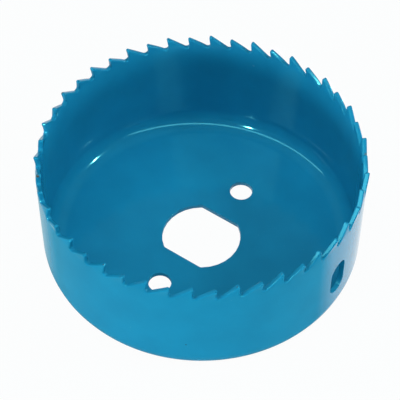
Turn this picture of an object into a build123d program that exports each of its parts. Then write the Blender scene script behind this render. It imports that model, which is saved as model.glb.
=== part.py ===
from build123d import *
import os
from math import acos, atan2, cos, degrees, pi, radians, sin, tan

# Hole saw cup, drawn from one steel sheet. Millimetres.
# Origin at the centre of the back face, +Z along the axis towards the tooth tips.
# The two drive-pin holes lie on X, and the wall slot faces -Y.

# Cup
outside_diameter = 76.0  # wall just above the drawn corner
overall_height = 31.0  # back face to tooth tips
sheet = 1.2  # thickness of floor and wall
corner_radius = 5.6  # outside of the drawn corner
mouth_flare = 0.3  # how far the drawn wall has sprung open at the height of the tips

# Teeth: seen from the open side they cut anticlockwise
tooth_count = 46  # even, because the set alternates
tooth_depth = 3.0  # tip to bottom of the gullet
tooth_set = 0.3  # each tip is bent this far out of or into the line of the wall
face_rake = 7.0  # degrees that the cutting face overhangs
tip_land = 0.16  # flat left at each tip
gullet_radius = 0.62
first_tip_angle = 1.1  # degrees from +X to the tip of a tooth that is bent out
tooth_footing = 1.0  # plain wall below the gullets that is made together with the teeth

# Arbor interface in the floor
arbor_hole_diameter = 19.0
arbor_hole_flats = 15.8  # across the two flats
arbor_corner_radius = 0.8  # between a flat and its arcs
pin_hole_diameter = 5.5
pin_circle_diameter = 34.2

# Slot for levering out the cut plug
slot_width = 5.4
slot_length = 10.2
slot_middle = 14.4  # height of its centre above the back face

# Worked out from the above
radius = outside_diameter / 2
floor_radius = radius - corner_radius
inner_corner_radius = corner_radius - sheet
wall_lean = atan2(mouth_flare, overall_height - corner_radius)
root_height = overall_height - tooth_depth
band_height = root_height - tooth_footing
pitch_angle = 360 / tooth_count
pitch = pi * outside_diameter / tooth_count
overrun = 1.0  # how far cutters run past what they cut


def wall_at(height, reach, stand_out=0.0):
    """Point of the cup's section on the wall's face that lies reach from the corner's centre."""
    rise = height - corner_radius
    return floor_radius + (reach + rise * sin(wall_lean)) / cos(wall_lean) + stand_out, height


def corner_top(reach):
    """Where the corner's arc of that radius runs into the wall."""
    return floor_radius + reach * cos(wall_lean), corner_radius - reach * sin(wall_lean)


def gullet_outline():
    """Closed outline of one gullet, x anticlockwise from its lowest point and y up from the root.

    The cutting face is on the left, the long back of the next tooth on the right.
    """
    rake = radians(face_rake)
    # The face is tangent to the gullet circle here.
    face_foot = (-gullet_radius * cos(rake), gullet_radius * (1 + sin(rake)))
    face_rise = tooth_depth - face_foot[1]
    tip = (face_foot[0] + face_rise * tan(rake), tooth_depth)
    back_top = (tip[0] + pitch - tip_land, tooth_depth)
    # The back is the tangent from its top to the gullet circle.
    reach = (back_top[0] ** 2 + (back_top[1] - gullet_radius) ** 2) ** 0.5
    to_top = Vector(back_top[0], back_top[1] - gullet_radius)
    foot = to_top.rotate(Axis.Z, -degrees(acos(gullet_radius / reach))).normalized() * gullet_radius
    back_foot = (foot.X, foot.Y + gullet_radius)
    return tip, face_foot, back_foot, back_top


tip, face_foot, back_foot, back_top = gullet_outline()
tip_offset = degrees(tip[0] / radius)  # angle from a gullet's lowest point back to the tip on its left

# One gullet cutter, drawn on the tangent plane at +X and run through the wall
gullet_plane = Plane(origin=(radius, 0, root_height), x_dir=(0, 1, 0), z_dir=(1, 0, 0))
with BuildPart() as gullet:
    with BuildSketch(gullet_plane):
        with BuildLine():
            Line(tip, face_foot)
            ThreePointArc(face_foot, (0, 0), back_foot)
            Line(back_foot, back_top)
            Polyline(back_top, (back_top[0], tooth_depth + overrun), (tip[0], tooth_depth + overrun), tip)
        make_face()
    extrude(amount=sheet + 2 * overrun, both=True)


def tooth_sector(lean):
    """One pitch of the wall's top, in line to the root and bent by lean at the tips."""
    with BuildPart() as sector:
        with BuildSketch(Plane.XZ):
            with BuildLine():
                Polyline(
                    wall_at(band_height, inner_corner_radius),
                    wall_at(band_height, corner_radius),
                    wall_at(root_height, corner_radius),
                    wall_at(overall_height, corner_radius, lean),
                    wall_at(overall_height, inner_corner_radius, lean),
                    wall_at(root_height, inner_corner_radius),
                    close=True,
                )
            make_face()
        revolve(axis=Axis.Z, revolution_arc=pitch_angle)
    return sector.part


tooth_out = tooth_sector(tooth_set)
tooth_in = tooth_sector(-tooth_set)

with BuildPart() as toothed_cup:
    # Drawn cup: floor, corner of one centre inside and out, and wall
    with BuildSketch(Plane.XZ):
        with BuildLine():
            Polyline((0, sheet), (0, 0), (floor_radius, 0))
            RadiusArc((floor_radius, 0), corner_top(corner_radius), -corner_radius)
            Polyline(
                corner_top(corner_radius),
                wall_at(band_height, corner_radius),
                wall_at(band_height, inner_corner_radius),
                corner_top(inner_corner_radius),
            )
            RadiusArc(corner_top(inner_corner_radius), (floor_radius, sheet), inner_corner_radius)
            Line((floor_radius, sheet), (0, sheet))
        make_face()
    revolve(axis=Axis.Z)

    # Teeth: sectors bent out and in by turns, parted by the gullets
    gullet_start = first_tip_angle - tip_offset
    with PolarLocations(0, tooth_count // 2, start_angle=gullet_start - pitch_angle):
        add(tooth_out)
    with PolarLocations(0, tooth_count // 2, start_angle=gullet_start):
        add(tooth_in)
    with PolarLocations(0, tooth_count, start_angle=gullet_start):
        add(gullet.part, mode=Mode.SUBTRACT)

    # Double-D arbor hole and the two drive-pin holes
    with BuildSketch(Plane.XY) as arbor_hole:
        Circle(arbor_hole_diameter / 2)
        Rectangle(arbor_hole_flats, arbor_hole_diameter, mode=Mode.INTERSECT)
        fillet(arbor_hole.vertices(), arbor_corner_radius)
    extrude(amount=sheet, mode=Mode.SUBTRACT)
    with Locations((-pin_circle_diameter / 2, 0, sheet), (pin_circle_diameter / 2, 0, sheet)):
        Hole(pin_hole_diameter / 2, depth=sheet)

    # Slot through the wall at -Y
    with BuildSketch(Plane(origin=(0, -radius, slot_middle), x_dir=(1, 0, 0), z_dir=(0, -1, 0))):
        SlotOverall(slot_length, slot_width, rotation=90)
    extrude(amount=sheet + overrun, both=True, mode=Mode.SUBTRACT)

toothed_cup.part.label = "toothed_cup"

os.makedirs("parts", exist_ok=True)
export_step(toothed_cup.part, "parts/toothed_cup.step")
print("volume mm3", round(toothed_cup.part.volume), "pitch mm", round(pitch, 3))
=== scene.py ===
import bpy
from collections import namedtuple
from math import acos, atan2, cos, pi, radians, sin, tan
from mathutils import Matrix, Vector
from mathutils.geometry import delaunay_2d_cdt


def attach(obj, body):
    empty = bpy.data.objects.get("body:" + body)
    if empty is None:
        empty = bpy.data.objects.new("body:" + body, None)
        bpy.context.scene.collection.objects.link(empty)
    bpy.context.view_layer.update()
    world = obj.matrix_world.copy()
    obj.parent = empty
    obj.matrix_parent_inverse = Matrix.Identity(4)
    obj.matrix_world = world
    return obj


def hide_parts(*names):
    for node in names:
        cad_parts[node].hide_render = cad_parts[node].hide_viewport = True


# Hole saw cup: one drawn sheet of steel with set teeth round the rim, thickly painted.
# Lengths are millimetres until MM turns them into metres.
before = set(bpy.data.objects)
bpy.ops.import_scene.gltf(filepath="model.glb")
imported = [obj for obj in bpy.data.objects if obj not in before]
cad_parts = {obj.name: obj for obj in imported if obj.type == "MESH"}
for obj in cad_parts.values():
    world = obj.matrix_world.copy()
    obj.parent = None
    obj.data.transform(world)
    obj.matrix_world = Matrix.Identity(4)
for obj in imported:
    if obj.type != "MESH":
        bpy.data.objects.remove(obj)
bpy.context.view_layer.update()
MM = 0.001

# Cup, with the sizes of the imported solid
RADIUS = 38.0
HEIGHT = 31.0
SHEET = 1.2
CORNER_RADIUS = 5.6
FLOOR_RADIUS = RADIUS - CORNER_RADIUS
MOUTH_FLARE = 0.3  # how far the wall has sprung open at the height of the tips
WALL_LEAN = atan2(MOUTH_FLARE, HEIGHT - CORNER_RADIUS)

# Teeth: seen from the open side they cut anticlockwise
TOOTH_COUNT = 46
TOOTH_DEPTH = 3.0
TOOTH_SET = 0.3
SET_BEND = 0.4  # share of the tooth's height over which it bends; the rest is straight
FACE_RAKE = radians(7.0)
GULLET_RADIUS = 0.62
FIRST_TIP_ANGLE = radians(1.1)  # tip of a tooth that is bent out
ROOT_HEIGHT = HEIGHT - TOOTH_DEPTH
PITCH_ANGLE = 2 * pi / TOOTH_COUNT
PITCH = RADIUS * PITCH_ANGLE

# Openings
ARBOR_HOLE_DIAMETER = 19.0
ARBOR_HOLE_FLATS = 15.8
ARBOR_CORNER_RADIUS = 0.8
PIN_HOLE_DIAMETER = 5.5
PIN_CIRCLE_DIAMETER = 34.2
SLOT_WIDTH = 5.4
SLOT_LENGTH = 10.2
SLOT_MIDDLE = 14.4
SLOT_ANGLE = -pi / 2

# Paint, which rounds every edge
EDGE_ROUND = 0.34
HOLE_ROUND = 0.14
TIP_ROUND = 0.38
TIP_WEAR = 0.03  # how far the tips end below the full height

# Mesh
ARC_STEP = radians(12)
EDGE_STEPS = 5
CORNER_STEPS = 9
TOOTH_ROWS = 7
BACK_STEPS = 5  # along a tooth's long back
FACE_STEPS = 3  # along its cutting face
TOOTH_BASE = 27.0
WINDOW_BOTTOM = 8.3  # the window is the part of the wall that the slot stands in
WINDOW_TOP = 20.5
WINDOW_HALF_WIDTH = 4.4
WALL_HEIGHTS = (WINDOW_BOTTOM, WINDOW_TOP, 24.0, TOOTH_BASE)
EVEN_SHARE = 0.35  # how far the columns at the teeth's base are evened out
FLOOR_RINGS = ((32.0, 450), (31.2, 225), (29.6, 140), (27.0, 100), (24.0, 80), (20.5, 64), (12.5, 40))
HOLE_MARGIN = 1.1  # no loose points of the floor stand closer than this to a hole


# Outlines: lists of (point, normal into the air) in the flat of the sheet

def arc(centre, radius, first, last, hollow=False):
    """Points round an arc between two directions of the normal.

    On a hollow arc the normals point to its centre.
    """
    steps = max(2, round(abs(last - first) / ARC_STEP))
    side = -1 if hollow else 1
    line = []
    for i in range(steps + 1):
        angle = first + (last - first) * i / steps
        normal = Vector((cos(angle), sin(angle)))
        line.append((Vector(centre) + normal * radius * side, normal))
    return line


def straight(start, end, steps):
    """The points between two outline points, without the two themselves."""
    return [(start[0].lerp(end[0], i / steps), start[1]) for i in range(1, steps)]


def hole(centre, radius, first, last):
    """An arc of a hole's edge, given by the directions from its centre."""
    return arc(centre, radius, first + pi, last + pi, hollow=True)


def round_hole(centre, diameter):
    return hole(centre, diameter / 2, 0, 2 * pi)[:-1]


def obround(middle_height, width, length):
    """An upright slot's edge."""
    half = (length - width) / 2
    top = hole((0, middle_height + half), width / 2, 0, pi)
    bottom = hole((0, middle_height - half), width / 2, pi, 2 * pi)
    return top + bottom


def double_d(diameter, flats, corner):
    """A round hole with two flats, which face along x, and rounded corners."""
    core_x = flats / 2 - corner
    turn = acos(core_x / (diameter / 2 - corner))
    core_y = core_x * tan(turn)
    line = []
    for side, start in ((1, 0), (-1, pi)):
        line += hole((side * core_x, side * core_y), corner, start, start + turn)
        line += hole((0, 0), diameter / 2, start + turn, start + pi - turn)[1:-1]
        line += hole((-side * core_x, side * core_y), corner, start + pi - turn, start + pi)
    return line


def tooth():
    """One pitch of the rim from the lowest point of a gullet, x along the rim and y up from the root.

    The long back rises from the gullet, the cutting face drops from the tip to the next gullet.
    """
    gullet = Vector((0, GULLET_RADIUS))
    next_gullet = gullet + Vector((PITCH, 0))
    face_angle = -FACE_RAKE
    face_normal = Vector((cos(face_angle), sin(face_angle)))
    face_foot = next_gullet - face_normal * GULLET_RADIUS
    # The round tip touches the line of the face, and the back touches both the tip and the gullet's arc.
    face_height = TOOTH_DEPTH - TIP_WEAR - TIP_ROUND * (1 + sin(FACE_RAKE))
    face_top = Vector((face_foot.x + (face_height - face_foot.y) * tan(FACE_RAKE), face_height))
    tip_centre = face_top - face_normal * TIP_ROUND
    to_tip = tip_centre - gullet
    back_angle = atan2(to_tip.y, to_tip.x) + acos(-(GULLET_RADIUS + TIP_ROUND) / to_tip.length)
    tip = arc(tip_centre, TIP_ROUND, back_angle, face_angle)
    start = arc(gullet, GULLET_RADIUS, pi / 2, back_angle, hollow=True)
    end = arc(next_gullet, GULLET_RADIUS, face_angle, pi / 2, hollow=True)[:-1]
    return start + straight(start[-1], tip[0], BACK_STEPS) + tip + straight(tip[-1], end[0], FACE_STEPS) + end


# Section through a painted edge, from one face of the sheet to the other
SectionPoint = namedtuple("SectionPoint", "inset depth face_part edge_part")


def edge_section(rounding):
    """inset counts from the outline and depth from the first face.

    The other two are the parts that the face's and the outline's directions have in the normal.
    """
    turns = [pi / 2 * i / EDGE_STEPS for i in range(EDGE_STEPS + 1)]
    section = []
    for turn in turns:
        inset = rounding * (1 - sin(turn))
        section.append(SectionPoint(inset, rounding * (1 - cos(turn)), -cos(turn), sin(turn)))
    for turn in turns:
        inset = rounding * (1 - cos(turn))
        section.append(SectionPoint(inset, SHEET - rounding * (1 - sin(turn)), sin(turn), cos(turn)))
    return section


# Places on the sheet: each gives a point in space with its normal

def set_of(height, lean):
    """How far a tooth stands out at a height, and how fast that grows."""
    share = (height - ROOT_HEIGHT) / TOOTH_DEPTH
    steepest = lean / (1 - SET_BEND / 2)
    if share <= 0:
        return 0.0, 0.0
    if share < SET_BEND:
        return steepest * share ** 2 / (2 * SET_BEND), steepest * share / SET_BEND / TOOTH_DEPTH
    return steepest * (share - SET_BEND / 2), steepest / TOOTH_DEPTH


def on_wall(start_angle, lean=0.0):
    """Places along the wall from an angle, on a tooth that leans out. Depth counts from the outside."""
    def place(along, height, depth, normal):
        angle = start_angle + along / RADIUS
        stand_out, slope = set_of(height, lean)
        rise = height - CORNER_RADIUS
        radius = FLOOR_RADIUS + (CORNER_RADIUS - depth + rise * sin(WALL_LEAN)) / cos(WALL_LEAN) + stand_out
        slope += tan(WALL_LEAN)
        away = Vector((cos(angle), sin(angle), 0))
        round_about = Vector((-sin(angle), cos(angle), 0))
        point = away * radius + Vector((0, 0, height))
        tilt = Vector((0, 0, normal[1] + normal[2] * slope))
        return point, (round_about * normal[0] * RADIUS / radius - away * normal[2] + tilt).normalized()
    return place


def on_floor(x, y, depth, normal):
    """Depth counts up from the back face."""
    return Vector((x, y, depth)), Vector(normal).normalized()


def wall_face(depth):
    """Direction of the wall's face: outwards on the outside, which has no depth, and inwards inside."""
    return (0, 0, -1 if depth == 0 else 1)


class Skin:
    """Points with their normals, and the faces between them."""

    def __init__(self):
        self.points = []
        self.normals = []
        self.faces = []

    def add(self, placed):
        self.points.append(placed[0])
        self.normals.append(placed[1])
        return len(self.points) - 1

    def ring(self, places):
        return [self.add(placed) for placed in places]

    def bridge(self, first, second, gap=()):
        """Faces between two closed rings of as many points, apart from the columns in gap."""
        count = len(first)
        for i in range(count):
            if i not in gap:
                self.faces.append((first[i], first[(i + 1) % count], second[(i + 1) % count], second[i]))

    def edge(self, outline, rounding, place):
        """A hole's painted edge through the sheet. Gives its first and last ring."""
        rings = []
        for section in edge_section(rounding):
            row = []
            for point, normal in outline:
                at = point - normal * section.inset
                whole = (normal.x * section.edge_part, normal.y * section.edge_part, section.face_part)
                row.append(place(at.x, at.y, section.depth, whole))
            rings.append(self.ring(row))
        for lower, upper in zip(rings, rings[1:]):
            self.bridge(lower, upper)
        return rings[0], rings[-1]

    def fill(self, flat, border, holes, loose=()):
        """Triangles inside a border and outside the holes.

        flat gives each point's place in the plane of the fill.
        """
        loops = [border] + holes
        corners = [corner for loop in loops for corner in loop] + list(loose)
        lines = []
        start = 0
        for loop in loops:
            count = len(loop)
            lines += [(start + i, start + (i + 1) % count) for i in range(count)]
            start += count
        _, _, triangles, sources, _, _ = delaunay_2d_cdt([flat[i] for i in corners], lines, [], 0, 1e-6)
        drilled = [set(loop) for loop in holes]
        for triangle in triangles:
            face = tuple(corners[sources[i][0]] for i in triangle)
            if not any(edge.issuperset(face) for edge in drilled):
                self.faces.append(face)

    def outward(self, face):
        """The face with its corners in the order that makes it look along its normals."""
        a, b, c, last = (self.points[face[i]] for i in (0, 1, 2, -1))
        wanted = sum((self.normals[i] for i in face), Vector())
        return face if (c - a).cross(last - b).dot(wanted) > 0 else face[::-1]

    def piece(self, name):
        mesh = bpy.data.meshes.new(name)
        faces = [self.outward(face) for face in self.faces]
        mesh.from_pydata([point * MM for point in self.points], [], faces)
        mesh.polygons.foreach_set("use_smooth", [True] * len(mesh.polygons))
        mesh.normals_split_custom_set_from_vertices(self.normals)
        made = bpy.data.objects.new(name, mesh)
        bpy.context.scene.collection.objects.link(made)
        return made


# Columns of the wall. Each follows one point of a tooth's outline down to the floor:
# base is how far along the pitch it stands at the teeth's base, and even is the same further down.
Column = namedtuple("Column", "start_angle lean point normal base even")


def rim_columns():
    outline = tooth()
    ends = [point for point, _ in outline[1:]] + [Vector((PITCH, 0))]
    steps = [(end - point).length for (point, _), end in zip(outline, ends)]
    # The first tip's angle is that of a sharp tip, which stands this far from the gullet before it.
    sharp_rise = TOOTH_DEPTH - GULLET_RADIUS * (1 + sin(FACE_RAKE))
    to_sharp_tip = GULLET_RADIUS * cos(FACE_RAKE) - sharp_rise * tan(FACE_RAKE)
    gullet_start = FIRST_TIP_ANGLE + to_sharp_tip / RADIUS
    columns = []
    for number in range(TOOTH_COUNT):
        start_angle = gullet_start + number * PITCH_ANGLE
        lean = TOOTH_SET if number % 2 else -TOOTH_SET
        gone = 0.0
        for i, (point, normal) in enumerate(outline):
            share = gone / sum(steps)
            gone += steps[i]
            base = point.x + (share * PITCH - point.x) * EVEN_SHARE
            columns.append(Column(start_angle, lean, point, normal, base, PITCH * i / len(outline)))
    return columns


def corner_row(columns, turn, depth):
    """A row of the rounded corner, turn being the angle below level."""
    side = 1 if depth == 0 else -1
    row = []
    for column in columns:
        angle = column.start_angle + column.even / RADIUS
        level = Vector((cos(angle), sin(angle), 0))
        away = level * cos(turn) - Vector((0, 0, sin(turn)))
        centre = level * FLOOR_RADIUS + Vector((0, 0, CORNER_RADIUS))
        row.append((centre + away * (CORNER_RADIUS - depth), away * side))
    return row


def wall_row(columns, height, depth):
    row = []
    for column in columns:
        along = column.base if height == TOOTH_BASE else column.even
        row.append(on_wall(column.start_angle)(along, height, depth, wall_face(depth)))
    return row


def tooth_row(columns, rise, depth):
    """A row part of the way from the teeth's base to their edge."""
    row = []
    for column in columns:
        top = column.point - column.normal * EDGE_ROUND
        along = column.base + (top.x - column.base) * rise
        height = TOOTH_BASE + (ROOT_HEIGHT + top.y - TOOTH_BASE) * rise
        row.append(on_wall(column.start_angle, column.lean)(along, height, depth, wall_face(depth)))
    return row


def rim_row(columns, section):
    row = []
    for column in columns:
        at = column.point - column.normal * section.inset
        whole = (column.normal.x * section.edge_part, column.normal.y * section.edge_part, section.face_part)
        row.append(on_wall(column.start_angle, column.lean)(at.x, ROOT_HEIGHT + at.y, section.depth, whole))
    return row


def side_rings(skin, columns, depth):
    """Rings of one side of the cup from the floor to just below the rim's edge."""
    turns = [WALL_LEAN + (pi / 2 - WALL_LEAN) * i / CORNER_STEPS for i in range(CORNER_STEPS + 1)]
    rings = [skin.ring(corner_row(columns, turn, depth)) for turn in reversed(turns)]
    rings += [skin.ring(wall_row(columns, height, depth)) for height in WALL_HEIGHTS]
    return rings + [skin.ring(tooth_row(columns, i / TOOTH_ROWS, depth)) for i in range(1, TOOTH_ROWS)]


def cut_slot(skin, window, sides):
    """The slot's painted edge, and the wall of the window round it.

    window holds the columns, and sides the lower and upper ring of the window outside and inside.
    """
    edges = skin.edge(obround(SLOT_MIDDLE, SLOT_WIDTH, SLOT_LENGTH), HOLE_ROUND, on_wall(SLOT_ANGLE))
    for (low, high), edge in zip(sides, edges):
        border = [low[i] for i in window] + [high[i] for i in reversed(window)]
        flat = {}
        for corner in border + edge:
            point = skin.points[corner]
            flat[corner] = Vector((RADIUS * (atan2(point.y, point.x) - SLOT_ANGLE), point.z))
        skin.fill(flat, border, [edge])


def loose_points(skin, height, up, holes):
    """Points over the floor, wider apart towards the middle, away from the holes."""
    loose = []
    for radius, count in FLOOR_RINGS:
        for i in range(count):
            angle = 2 * pi * i / count
            point = Vector((radius * cos(angle), radius * sin(angle), height))
            if all((point.xy - Vector(centre)).length > size / 2 + HOLE_MARGIN for centre, size in holes):
                loose.append(skin.add((point, Vector((0, 0, up)))))
    return loose


def lay_floor(skin, back_border, floor_border):
    """The floor's two faces inside the rounded corner, with the arbor hole and the pin holes."""
    pin_x = PIN_CIRCLE_DIAMETER / 2
    outlines = [double_d(ARBOR_HOLE_DIAMETER, ARBOR_HOLE_FLATS, ARBOR_CORNER_RADIUS)]
    outlines += [round_hole((x, 0), PIN_HOLE_DIAMETER) for x in (-pin_x, pin_x)]
    edges = [skin.edge(outline, HOLE_ROUND, on_floor) for outline in outlines]
    holes = [((0, 0), ARBOR_HOLE_DIAMETER), ((-pin_x, 0), PIN_HOLE_DIAMETER), ((pin_x, 0), PIN_HOLE_DIAMETER)]
    for border, face, height, up in ((back_border, 0, 0.0, -1), (floor_border, 1, SHEET, 1)):
        loose = loose_points(skin, height, up, holes)
        drilled = [edge[face] for edge in edges]
        flat = {corner: skin.points[corner].xy for corner in border + loose + sum(drilled, [])}
        skin.fill(flat, border, drilled, loose)


def painted_cup():
    """The whole cup as one closed skin: corner, wall and teeth outside, the rim, and the same inside."""
    skin = Skin()
    columns = rim_columns()
    outside = side_rings(skin, columns, 0)
    inside = side_rings(skin, columns, SHEET)
    rim = [skin.ring(rim_row(columns, section)) for section in edge_section(EDGE_ROUND)]
    rings = outside + rim + inside[::-1]

    angles = [(column.start_angle + column.even / RADIUS) % (2 * pi) for column in columns]
    to_slot = [abs(angle - SLOT_ANGLE % (2 * pi)) * RADIUS for angle in angles]
    window = [i for i, away in enumerate(to_slot) if away < WINDOW_HALF_WIDTH]
    low = CORNER_STEPS + 1  # ring at the window's lower end
    for lower, upper in zip(rings, rings[1:]):
        at_slot = lower is outside[low] or upper is inside[low]
        skin.bridge(lower, upper, window[:-1] if at_slot else ())
    cut_slot(skin, window, (outside[low:low + 2], inside[low:low + 2]))
    lay_floor(skin, outside[0], inside[0])
    return skin.piece("painted_cup")


# Finishes

class Wire:
    """A node's output that takes part in arithmetic: each operator adds one Math node."""

    def __init__(self, bench, socket):
        self.bench = bench
        self.socket = socket

    def maths(self, operation, first, second):
        return self.bench.node("ShaderNodeMath", {"operation": operation}, {0: first, 1: second})

    def __add__(self, other):
        return self.maths("ADD", self, other)

    def __radd__(self, other):
        return self.maths("ADD", other, self)

    def __sub__(self, other):
        return self.maths("SUBTRACT", self, other)

    def __rsub__(self, other):
        return self.maths("SUBTRACT", other, self)

    def __mul__(self, other):
        return self.maths("MULTIPLY", self, other)

    def __rmul__(self, other):
        return self.maths("MULTIPLY", other, self)

    def at_least(self, other):
        return self.maths("MAXIMUM", self, other)


class Bench:
    """The nodes of one material or of the world."""

    def __init__(self, owner):
        owner.use_nodes = True
        self.tree = owner.node_tree
        self.tree.nodes.clear()

    def node(self, kind, settings, inputs, output=0):
        """Makes a node: its settings first, then the values or links of its sockets."""
        made = self.tree.nodes.new(kind)
        for name, value in settings.items():
            setattr(made, name, value)
        for name, value in inputs.items():
            if isinstance(value, Wire):
                self.tree.links.new(value.socket, made.inputs[name])
            else:
                made.inputs[name].default_value = value
        return Wire(self, made.outputs[output]) if made.outputs else None

    def place(self):
        """The place on the piece, in metres."""
        return self.node("ShaderNodeTexCoord", {}, {}, "Object")

    def along(self, axis):
        return self.node("ShaderNodeSeparateXYZ", {}, {0: self.place()}, axis)

    def fade(self, value, start, end):
        """0 before start, 1 past end and straight between. Where end is the lower one, it fades downwards."""
        settings = {"operation": "MULTIPLY", "use_clamp": True}
        return self.node("ShaderNodeMath", settings, {0: value - start, 1: 1 / (end - start)})

    def blend(self, share, first, second):
        """Mixes two colours."""
        settings = {"data_type": "RGBA", "clamp_factor": True}
        return self.node("ShaderNodeMix", settings, {0: share, 6: first, 7: second}, 2)

    def mixed(self, share, first, second):
        """Mixes two shaders."""
        return self.node("ShaderNodeMixShader", {}, {0: share, 1: first, 2: second})

    def noise(self, size, detail):
        """Noise whose lumps are about size millimetres across."""
        inputs = {"Vector": self.place(), "Scale": 1 / (size * MM), "Detail": detail}
        return self.node("ShaderNodeTexNoise", {}, inputs)

    def spots(self, marks):
        """1 inside small round marks on the surface, 0 outside."""
        inside = None
        for centre, radius in marks:
            inputs = {0: self.place(), 1: [x * MM for x in centre]}
            away = self.node("ShaderNodeVectorMath", {"operation": "DISTANCE"}, inputs, 1)
            mark = self.fade(away, 1.2 * radius * MM, 0.6 * radius * MM)
            inside = mark if inside is None else inside.at_least(mark)
        return inside


PAINT = (0.009, 0.264, 0.475, 1)
PAINT_DEEP = (0.008, 0.234, 0.430, 1)
PAINT_PALE = (0.048, 0.310, 0.500, 1)
BARE_BROWN = (0.090, 0.058, 0.040, 1)
DIRT = (0.012, 0.062, 0.095, 1)
GLOSS_TINT = (0.18, 0.95, 1.0, 1)

# Marks as (place, radius): paint gone from the edge, dirt under the paint, and pale grains on it
CHIPS = (((-26.3, 27.1, 30.7), 0.5), ((23.7, -29.8, 29.2), 0.6), ((9.4, -36.7, 28.7), 0.55))
DIRT_GRAINS = (((-30.4, 23.1, 24.2), 0.22), ((-33.0, -19.0, 10.3), 0.24))
PALE_GRAINS = (((-27.0, -26.9, 27.2), 0.2), ((-37.5, -6.9, 12.4), 0.18), ((35.7, 9.6, 24.1), 0.3))


def cup_paint():
    """Thick gloss paint, teal blue and slightly uneven, worn off at a few tips."""
    material = bpy.data.materials.new("cup_paint")
    bench = Bench(material)

    clouds = bench.noise(9.0, 3.0)
    grain = bench.noise(0.5, 2.0)
    flecks = bench.noise(0.8, 1.0)
    near_tips = bench.fade(bench.along("Z"), 30.22 * MM, 30.94 * MM)
    worn = near_tips * bench.fade(flecks, 0.70, 0.74)
    chipped = bench.spots(CHIPS).at_least(worn)
    colour = bench.blend(bench.fade(clouds, 0.35, 0.70), PAINT, PAINT_DEEP)
    colour = bench.blend(bench.fade(grain, 0.70, 0.78) * 0.35, colour, PAINT_PALE)
    colour = bench.blend(bench.spots(PALE_GRAINS) * 0.7, colour, PAINT_PALE)
    colour = bench.blend(bench.spots(DIRT_GRAINS) * 0.85, colour, DIRT)
    colour = bench.blend(chipped, colour, BARE_BROWN)

    peel = bench.noise(1.3, 1.0)
    waves = bench.noise(6.0, 1.0)
    relief = peel * 0.15 + waves * 0.6 - chipped * 0.6
    bump = bench.node("ShaderNodeBump", {}, {"Strength": 0.3, "Distance": 0.06 * MM, "Height": relief})

    surface = bench.node("ShaderNodeBsdfPrincipled", {}, {
        "Base Color": colour,
        "Roughness": 0.04 + grain * 0.05 + chipped * 0.4,
        "Metallic": 0.0,
        "IOR": 1.5,
        "Specular Tint": GLOSS_TINT,
        "Normal": bump,
    })
    bench.node("ShaderNodeOutputMaterial", {}, {"Surface": surface})
    return material


# Surroundings

WHITE = (1.0, 1.0, 1.0, 1)
# Painted reflected light: the table's matt colour is teal, standing in for the cup's blue light bounced onto
# the table. It shows in the cup's gloss and in the light the table throws back up at the cup.
TABLE_TEAL_PAINTED_BOUNCE = (0.12, 0.60, 0.66, 1)
TABLE_HALF_WIDTH = 0.6  # metres
PLAIN_LIGHT = 0.16
SHADOW_HIDDEN = 0.97  # share of the table's shade that the white hides
MIRRORED_WHITE = 0.09  # share of white that the gloss shows; the rest is the surroundings' own shade
# Painted light: the table glows greyer in the cup's gloss behind it at the left, with this share of white.
MIRRORED_AT_LEFT = 0.42  # the same on the table behind the cup, at its left


def seen_white(bench, mirrored):
    """1 for rays from the camera or through glass, and mirrored for those of a reflection."""
    from_camera, reflected, through_glass = (
        bench.node("ShaderNodeLightPath", {}, {}, name)
        for name in ("Is Camera Ray", "Is Glossy Ray", "Is Transmission Ray"))
    return from_camera.at_least(through_glass).at_least(reflected * mirrored)


def painted_table_glow_in_gloss(bench):
    """Painted light: how white the table glows in the cup's gloss at each place, most at the right where the
    lamps' light falls, less at the back left.
    """
    x = bench.along("X")
    y = bench.along("Y")
    right_or_front = bench.fade(x, 0.0, 8 * MM).at_least(bench.fade(y, -8 * MM, -24 * MM))
    past_front_left = bench.fade(x * 0.77 + y * 0.64, -30 * MM, -22 * MM)
    behind = bench.fade(y, 0.0, 10 * MM)
    past_left = bench.fade(x * 0.996 - y * 0.087, -38 * MM, -28 * MM)
    at_left = behind * past_left * MIRRORED_AT_LEFT
    return (right_or_front * past_front_left).at_least(at_left).at_least(MIRRORED_WHITE)


def table():
    """A white table under the cup, clear when seen from below. Its matt part is painted teal as painted
    reflected light from the cup.
    """
    half = TABLE_HALF_WIDTH
    mesh = bpy.data.meshes.new("table")
    corners = [(-half, -half, 0), (half, -half, 0), (half, half, 0), (-half, half, 0)]
    mesh.from_pydata(corners, [], [(0, 1, 2, 3)])
    made = bpy.data.objects.new("table", mesh)
    bpy.context.scene.collection.objects.link(made)
    material = bpy.data.materials.new("white_table")
    bench = Bench(material)
    # The matt part's teal is painted reflected light from the cup, not the table's own colour.
    matt = bench.node("ShaderNodeBsdfDiffuse", {}, {"Color": TABLE_TEAL_PAINTED_BOUNCE})
    white = bench.node("ShaderNodeEmission", {}, {"Color": WHITE, "Strength": 1.0})
    clear = bench.node("ShaderNodeBsdfTransparent", {}, {})
    from_below = bench.node("ShaderNodeNewGeometry", {}, {}, "Backfacing")
    # The table's white in the gloss is painted light by place, whiter at the right where the lamps' light
    # falls.
    top = bench.mixed(seen_white(bench, painted_table_glow_in_gloss(bench)) * SHADOW_HIDDEN, matt, white)
    bench.node("ShaderNodeOutputMaterial", {}, {"Surface": bench.mixed(from_below, top, clear)})
    mesh.materials.append(material)
    return made


def surroundings():
    """Plain grey light from all round, which shows as white to the camera and in part in the gloss."""
    world = bpy.data.worlds.new("surroundings")
    bpy.context.scene.world = world
    bench = Bench(world)
    plain = bench.node("ShaderNodeBackground", {}, {"Color": WHITE, "Strength": PLAIN_LIGHT})
    white = bench.node("ShaderNodeBackground", {}, {"Color": WHITE, "Strength": 1.0})
    surface = bench.mixed(seen_white(bench, MIRRORED_WHITE), plain, white)
    bench.node("ShaderNodeOutputWorld", {}, {"Surface": surface})


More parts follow.
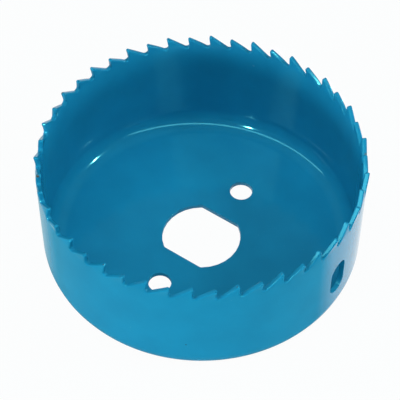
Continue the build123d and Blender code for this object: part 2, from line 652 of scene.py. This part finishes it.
def direction(azimuth, elevation):
    azimuth, elevation = radians(azimuth), radians(elevation)
    return Vector((cos(azimuth) * cos(elevation), sin(azimuth) * cos(elevation), sin(elevation)))


def lamp(name, towards, radiance, width, height=None, tint=(1, 1, 1), lights=True, mirrored=True):
    """A lamp one metre from the cup, round unless it has a height.

    towards is its azimuth and elevation. radiance is its own brightness, 1 being a white surface's.
    The width of an oblong one lies level. Sizes are metres.
    lights tells whether it falls on surfaces, mirrored whether it shows in their gloss.
    """
    light = bpy.data.lights.new(name, "AREA")
    light.size = width
    if height is None:
        light.shape = "DISK"
        area = pi * (width / 2) ** 2
    else:
        light.shape = "RECTANGLE"
        light.size_y = height
        area = width * height
    light.energy = radiance * pi * area
    light.color = tint
    made = bpy.data.objects.new(name, light)
    bpy.context.scene.collection.objects.link(made)
    away = direction(*towards)
    made.location = away + Vector((0, 0, HEIGHT / 2 * MM))
    made.rotation_euler = away.to_track_quat("Z", "Y").to_euler()
    made.visible_camera = False
    made.visible_diffuse = lights
    made.visible_glossy = mirrored


def lamps():
    """Panels and softboxes light the cup. The bulbs and the bar light nothing and only show in its gloss."""
    lamp("top_panel", (-145, 84), 2.4, 0.7, mirrored=False)
    lamp("top_left_panel", (125, 60), 1.6, 0.7, mirrored=False)
    lamp("left_softbox", (-179, 36), 6.5, 0.25, mirrored=False)
    lamp("right_softbox", (-60, 38), 20.0, 0.25, mirrored=False)
    lamp("low_left_panel", (162, 4.5), 27.5, 0.5, 0.12, mirrored=False)
    lamp("low_front_panel", (-98, 4.5), 15.5, 0.5, 0.12, mirrored=False)
    lamp("low_right_panel", (-40, 10), 5.0, 0.25)
    bulb_tint = (0.85, 1.0, 0.97)
    lamp("left_bulb", (-179, 36), 1800.0, 0.055, tint=bulb_tint, lights=False)
    lamp("right_bulb", (-60, 38), 1800.0, 0.055, tint=bulb_tint, lights=False)
    lamp("overhead_bar", (-165.8, 56.6), 6.2, 3.4, 0.15, lights=False)


def camera():
    """Looks down into the cup from the front left."""
    away = direction(-144.981, 51.345)
    roll = radians(0.224)
    aim = Vector((-0.200, 0.285, 14.978))
    distance = 408.145
    lens = bpy.data.cameras.new("camera")
    lens.sensor_width = 36.0
    lens.lens = 155.535
    lens.clip_start = 0.01
    made = bpy.data.objects.new("camera", lens)
    bpy.context.scene.collection.objects.link(made)
    turned = away.to_track_quat("Z", "Y").to_matrix() @ Matrix.Rotation(roll, 3, "Z")
    made.matrix_world = Matrix.Translation((aim + away * distance) * MM) @ turned.to_4x4()
    bpy.context.scene.camera = made


cup = painted_cup()
cup.data.materials.append(cup_paint())
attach(cup, "root")
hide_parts("toothed_cup")

table()
surroundings()
lamps()
camera()
bpy.context.scene.view_settings.view_transform = "Standard"
